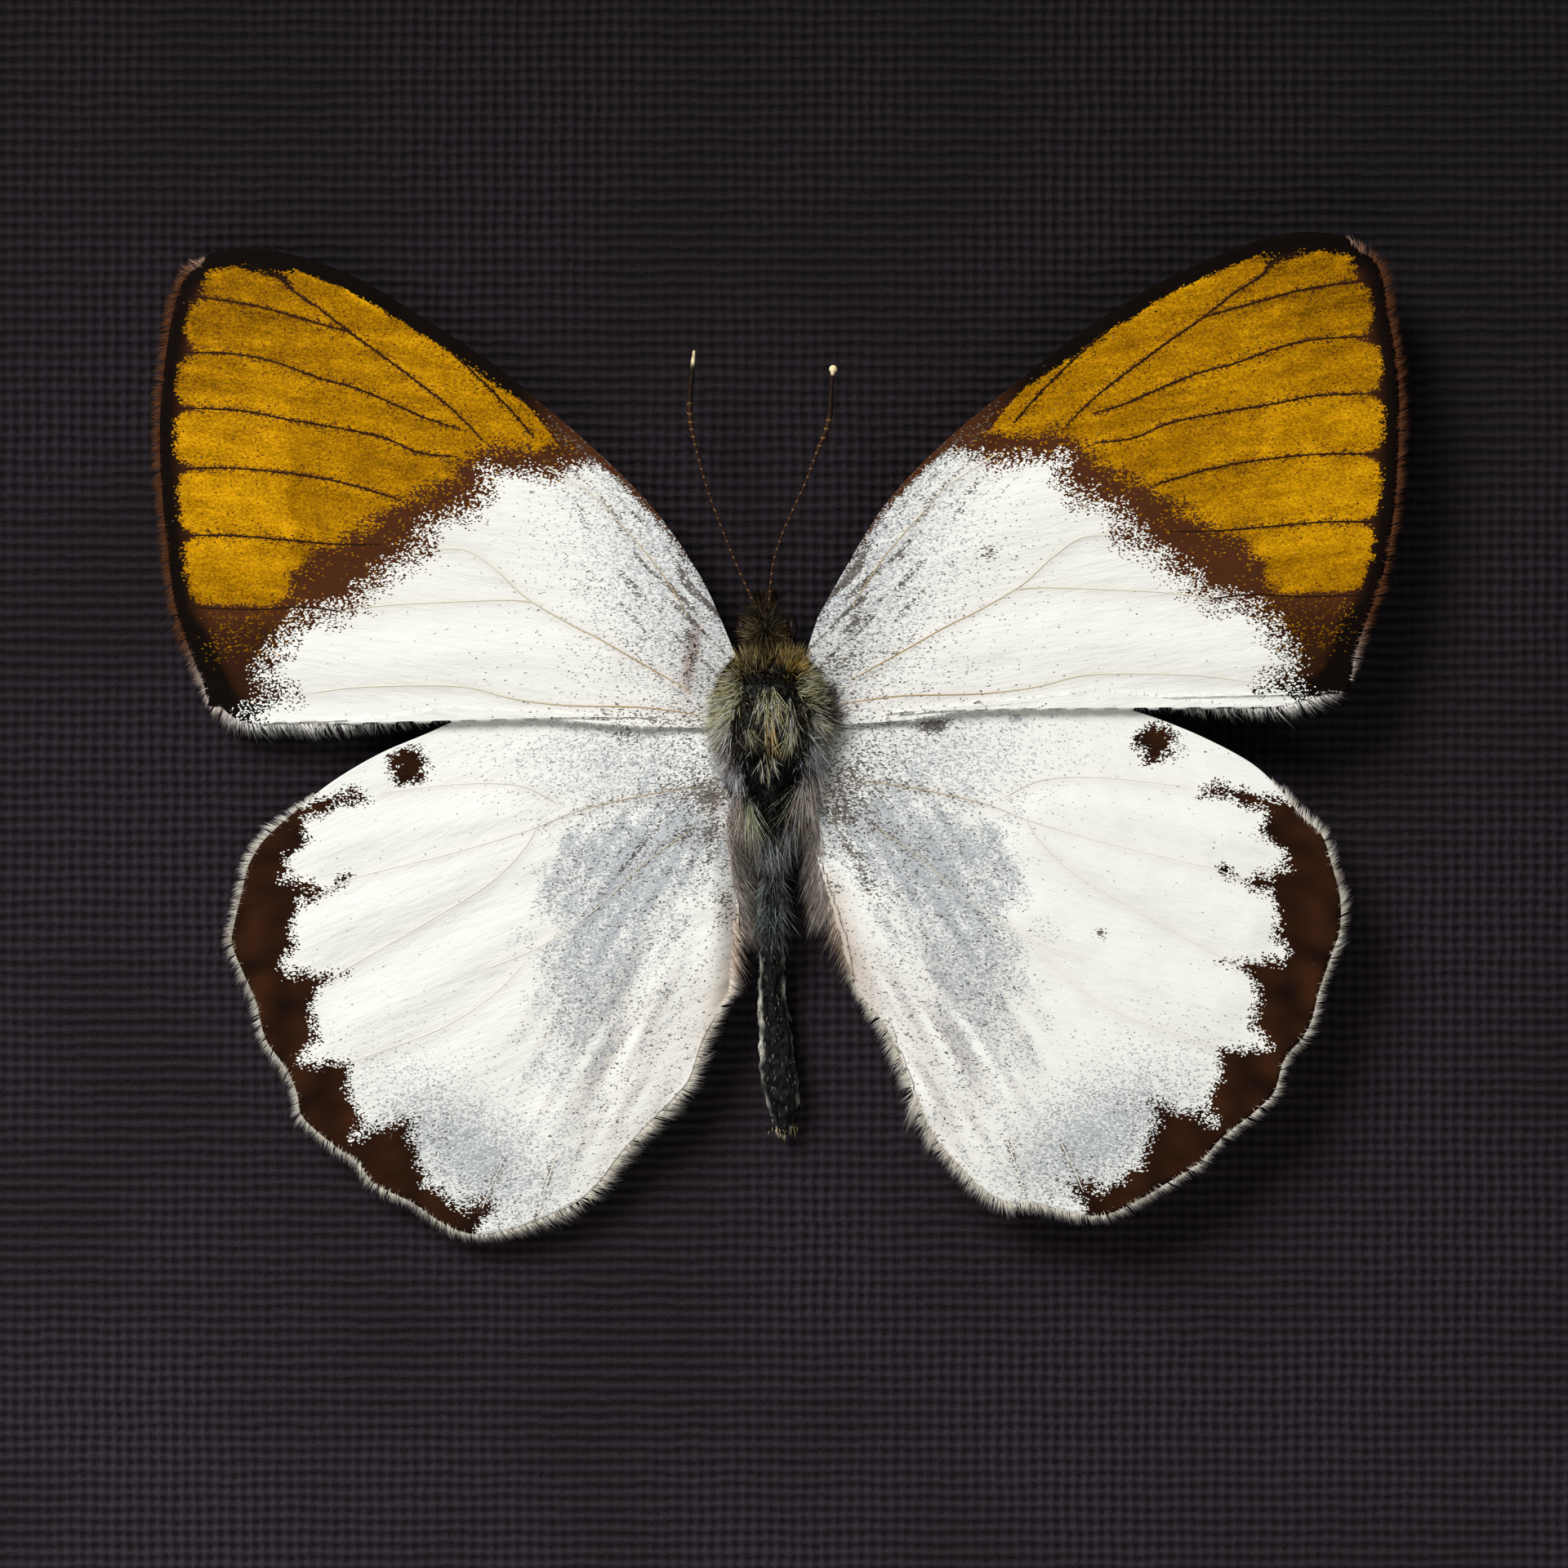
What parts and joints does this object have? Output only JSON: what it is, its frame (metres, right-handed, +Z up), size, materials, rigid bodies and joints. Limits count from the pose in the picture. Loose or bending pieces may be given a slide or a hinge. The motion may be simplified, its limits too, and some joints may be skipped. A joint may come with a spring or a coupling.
{
  "type": "set butterfly specimen on a mounting card",
  "caption": "a dried white butterfly with orange, brown-edged wing tips, spread flat on a square of dark linen-embossed card",
  "frame": {"origin": "the centre of the card's underside, which is the bottom centre of the whole part", "axes": "+Z up out of the card's face, +Y towards the insect's head, +X towards its right wings as seen from above"},
  "size_m": [0.08, 0.08, 0.0073],
  "materials": {
    "card": "dark violet-grey linen-embossed card, matt",
    "wing": "dry membrane covered with matt scales: white, orange tip with a dark brown border",
    "fur": "olive, ochre and grey hair over a black body",
    "abdomen": "shrivelled black skin with grey scales and a pale fold on each flank",
    "eye": "dark reddish-brown facets, glossy",
    "palp": "brown bristles",
    "horn": "brown chitin, satin"
  },
  "bodies": {
    "root": {"mounting_card": "card", "left_forewing": "wing", "right_forewing": "wing", "left_hindwing": "wing", "right_hindwing": "wing", "thorax": "fur", "head": "fur", "abdomen": "abdomen", "left_eye": "eye", "right_eye": "eye", "left_palp": "palp", "right_palp": "palp", "proboscis": "horn", "left_antenna": "horn", "right_antenna": "horn", "left_fore_leg": "horn", "right_fore_leg": "horn", "left_mid_leg": "horn", "right_mid_leg": "horn", "left_hind_leg": "horn", "right_hind_leg": "horn"}
  },
  "joints": []
}
